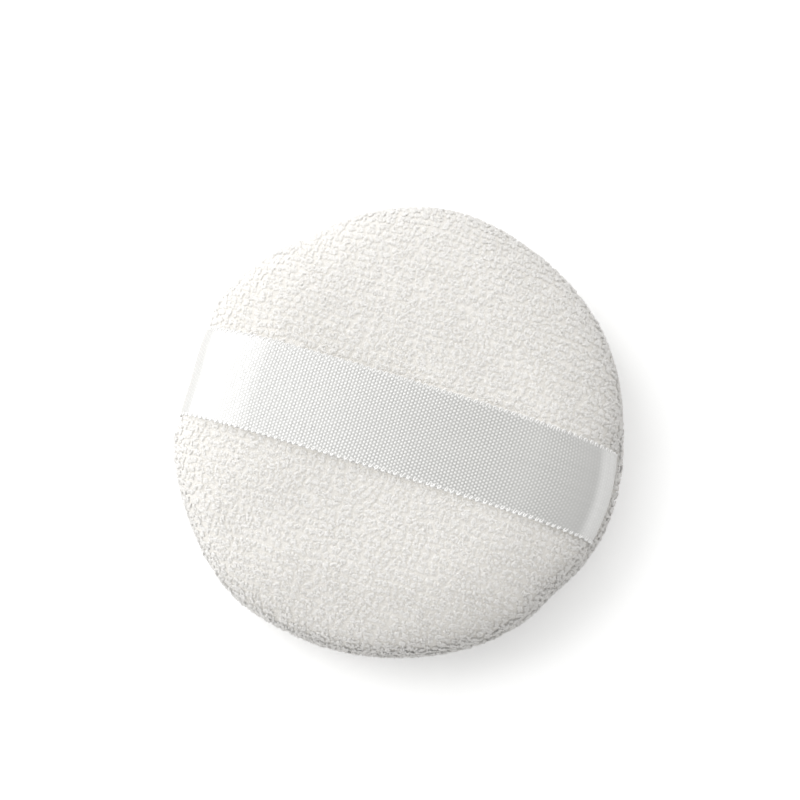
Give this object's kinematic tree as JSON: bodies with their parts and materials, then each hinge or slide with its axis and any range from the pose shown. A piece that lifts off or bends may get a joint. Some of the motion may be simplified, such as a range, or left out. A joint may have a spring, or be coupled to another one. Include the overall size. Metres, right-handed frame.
{
  "type": "powder puff",
  "caption": "Round velour powder puff: a sewn, foam-filled pad that gives when pressed, with a satin ribbon across its back that lifts for the fingers.",
  "frame": {"origin": "middle of the flat applicator face, on the surface that the puff lies on", "axes": "+Z through the pad from the applicator face to the grip face; +X along the ribbon"},
  "size_m": [0.0704, 0.07, 0.0166],
  "materials": {
    "velour": "short soft pile, ivory",
    "satin": "satin weave with a soft gloss, white",
    "foam": "fine open-cell foam, cream",
    "thread": "spun sewing thread, white"
  },
  "bodies": {
    "applicator": {"applicator_cover": "velour", "foam_core": "foam"},
    "grip": {"grip_cover": "velour", "ribbon_end_left": "satin", "ribbon_end_right": "satin", "seam_needle_thread": "thread", "seam_bobbin_thread": "thread", "closing_thread": "thread"},
    "ribbon": {"ribbon_band": "satin"}
  },
  "joints": [
    {"name": "pad_press", "type": "slide", "parent": "applicator", "child": "grip", "axis": [0, 0, -1], "range_m": [0, 0.0035], "stiffness_N_per_m": 500, "deforming": ["applicator_cover", "foam_core"]},
    {"name": "ribbon_lift", "type": "slide", "parent": "grip", "child": "ribbon", "axis": [0, 0, 1], "range_m": [0, 0.009]}
  ]
}
